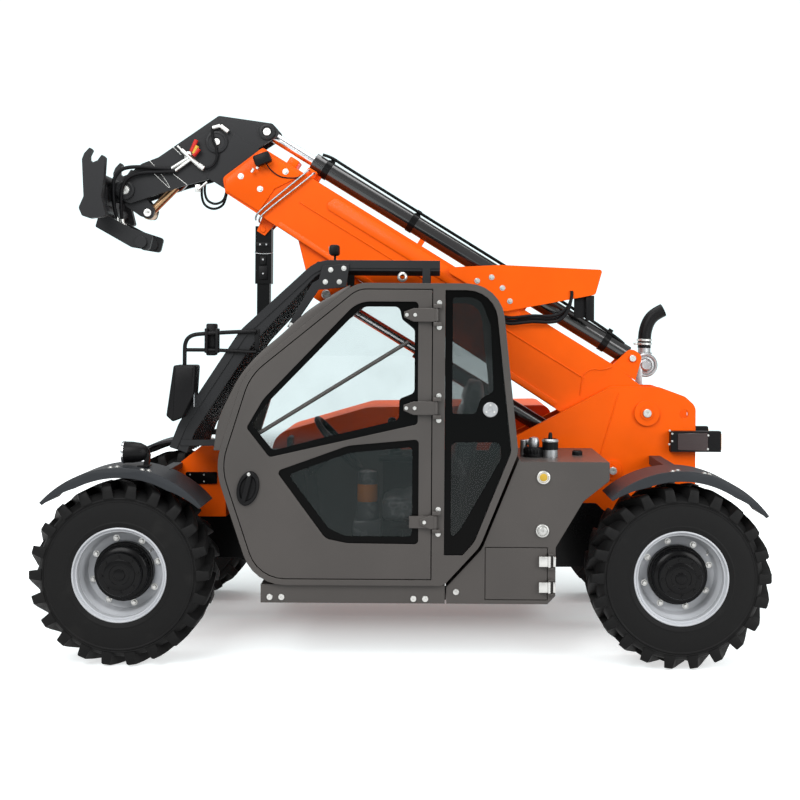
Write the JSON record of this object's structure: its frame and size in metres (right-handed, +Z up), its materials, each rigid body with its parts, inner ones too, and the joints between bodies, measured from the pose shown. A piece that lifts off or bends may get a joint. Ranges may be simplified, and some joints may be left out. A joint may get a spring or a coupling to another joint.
{
  "type": "telehandler",
  "caption": "Compact telehandler with side cab, telescoping boom, gooseneck head and quick-coupling tool carriage on steered wheels.",
  "frame": {"origin": "on the ground, midway between the axles and between the wheels", "axes": "-X to the front, -Y to the cab side, +Z up"},
  "size_m": [3.74, 1.95, 2.9073],
  "materials": {
    "orange_paint": "gloss",
    "grey_paint": "satin",
    "black_paint": "satin",
    "dark_grey_paint": "satin",
    "glass": "clear",
    "black_plastic": "moulded",
    "rod_chrome": "polished",
    "seat_cover": "woven",
    "cast_metal": "cast",
    "tyre": "matt",
    "rim_silver": "satin"
  },
  "bodies": {
    "chassis": {"chassis_frame": "orange_paint", "frame_left": "orange_paint", "frame_right": "orange_paint", "frame_pins": "cast_metal", "nose_left": "orange_paint", "nose_right": "orange_paint", "front_axle": "black_paint", "rear_axle": "black_paint", "engine_block": "black_paint", "engine_bay": "orange_paint", "cab_frame": "grey_paint", "windscreen": "glass", "rear_glass": "glass", "quarter_glass": "glass", "right_glass": "glass", "seat": "seat_cover", "console": "black_plastic", "steering_wheel": "black_plastic", "roof_guard": "dark_grey_paint", "mirror_arm": "black_plastic", "fuel_tank": "grey_paint", "side_sill": "grey_paint", "front_fenders": "black_plastic", "rear_fenders": "black_plastic", "head_lamps": "black_plastic", "rear_lamps": "black_plastic", "air_intake": "cast_metal"},
    "hood": {"engine_hood": "orange_paint"},
    "door": {"door": "grey_paint", "door_glass": "glass"},
    "hatch": {"side_hatch": "grey_paint"},
    "boom_outer": {"boom_outer": "orange_paint", "hose_guard": "orange_paint", "boom_prop": "black_paint", "extension_barrel": "black_paint"},
    "boom_inner": {"boom_inner": "dark_grey_paint", "extension_rod": "rod_chrome"},
    "lift_barrel": {"lift_barrel": "black_paint"},
    "lift_rod": {"lift_rod": "rod_chrome"},
    "tilt_barrel": {"tilt_barrel": "black_paint"},
    "tilt_rod": {"tilt_rod": "rod_chrome"},
    "carriage": {"carriage": "dark_grey_paint"},
    "knuckle_fl": {"knuckle_fl": "black_paint"},
    "wheel_fl": {"tyre_fl": "tyre", "rim_fl": "rim_silver", "hub_fl": "black_paint"},
    "knuckle_fr": {"knuckle_fr": "black_paint"},
    "wheel_fr": {"tyre_fr": "tyre", "rim_fr": "rim_silver", "hub_fr": "black_paint"},
    "knuckle_rl": {"knuckle_rl": "black_paint"},
    "wheel_rl": {"tyre_rl": "tyre", "rim_rl": "rim_silver", "hub_rl": "black_paint"},
    "knuckle_rr": {"knuckle_rr": "black_paint"},
    "wheel_rr": {"tyre_rr": "tyre", "rim_rr": "rim_silver", "hub_rr": "black_paint"}
  },
  "joints": [
    {"name": "boom_lift", "type": "hinge", "parent": "chassis", "child": "boom_outer", "pos_m": [1.365, 0.04, 1.232], "axis": [0, 1, 0], "range_deg": [-31, 34]},
    {"name": "boom_extend", "type": "slide", "parent": "boom_outer", "child": "boom_inner", "axis": [-0.8536, 0, 0.521], "range_m": [0, 1.8]},
    {"name": "carriage_tilt", "type": "hinge", "parent": "boom_inner", "child": "carriage", "pos_m": [-1.60862, 0.04, 2.48123], "axis": [0, 1, 0], "range_deg": [-75, 40]},
    {"name": "lift_barrel_swing", "type": "hinge", "parent": "chassis", "child": "lift_barrel", "pos_m": [1.171, 0.04, 0.909], "axis": [0, 1, 0], "range_deg": [-32, 35]},
    {"name": "lift_rod_slide", "type": "slide", "parent": "lift_barrel", "child": "lift_rod", "axis": [-0.8558, 0, 0.5173], "range_m": [-0.2, 0.22]},
    {"name": "tilt_barrel_swing", "type": "hinge", "parent": "boom_inner", "child": "tilt_barrel", "pos_m": [-1.08703, 0.04, 2.75801], "axis": [0, 1, 0], "range_deg": [-5, 9]},
    {"name": "tilt_rod_slide", "type": "slide", "parent": "tilt_barrel", "child": "tilt_rod", "axis": [-0.7016, 0, -0.7126], "range_m": [-0.18, 0.1]},
    {"name": "cab_door", "type": "hinge", "parent": "chassis", "child": "door", "pos_m": [0.172, -0.922, 1.2], "axis": [0, 0, 1], "range_deg": [0, 100]},
    {"name": "tool_hatch", "type": "hinge", "parent": "chassis", "child": "hatch", "pos_m": [0.752, -0.897, 0.465], "axis": [0, 0, 1], "range_deg": [0, 95]},
    {"name": "engine_hood", "type": "hinge", "parent": "chassis", "child": "hood", "pos_m": [0.866, 0.55, 0.9], "axis": [0, 1, 0], "range_deg": [0, 60]},
    {"name": "steer_front_left", "type": "hinge", "parent": "chassis", "child": "knuckle_fl", "pos_m": [-1.41, -0.76, 0.46], "axis": [0, 0, 1], "range_deg": [-28, 28]},
    {"name": "wheel_front_left", "type": "hinge", "parent": "knuckle_fl", "child": "wheel_fl", "pos_m": [-1.41, -0.8, 0.46], "axis": [0, 1, 0], "continuous": true},
    {"name": "steer_front_right", "type": "hinge", "parent": "chassis", "child": "knuckle_fr", "pos_m": [-1.41, 0.76, 0.46], "axis": [0, 0, 1], "range_deg": [-28, 28]},
    {"name": "wheel_front_right", "type": "hinge", "parent": "knuckle_fr", "child": "wheel_fr", "pos_m": [-1.41, 0.8, 0.46], "axis": [0, 1, 0], "continuous": true},
    {"name": "steer_rear_left", "type": "hinge", "parent": "chassis", "child": "knuckle_rl", "pos_m": [1.41, -0.76, 0.46], "axis": [0, 0, -1], "range_deg": [-28, 28]},
    {"name": "wheel_rear_left", "type": "hinge", "parent": "knuckle_rl", "child": "wheel_rl", "pos_m": [1.41, -0.8, 0.46], "axis": [0, 1, 0], "continuous": true},
    {"name": "steer_rear_right", "type": "hinge", "parent": "chassis", "child": "knuckle_rr", "pos_m": [1.41, 0.76, 0.46], "axis": [0, 0, -1], "range_deg": [-28, 28]},
    {"name": "wheel_rear_right", "type": "hinge", "parent": "knuckle_rr", "child": "wheel_rr", "pos_m": [1.41, 0.8, 0.46], "axis": [0, 1, 0], "continuous": true}
  ],
  "couplings": [
    {"joint": "lift_barrel_swing", "follows": "boom_lift", "ratio": 1},
    {"joint": "lift_rod_slide", "follows": "boom_lift", "m_per_rad": 0.357},
    {"joint": "tilt_barrel_swing", "follows": "carriage_tilt", "ratio": -0.1},
    {"joint": "tilt_rod_slide", "follows": "carriage_tilt", "m_per_rad": 0.13},
    {"joint": "steer_front_right", "follows": "steer_front_left", "ratio": 1},
    {"joint": "steer_rear_right", "follows": "steer_rear_left", "ratio": 1}
  ]
}
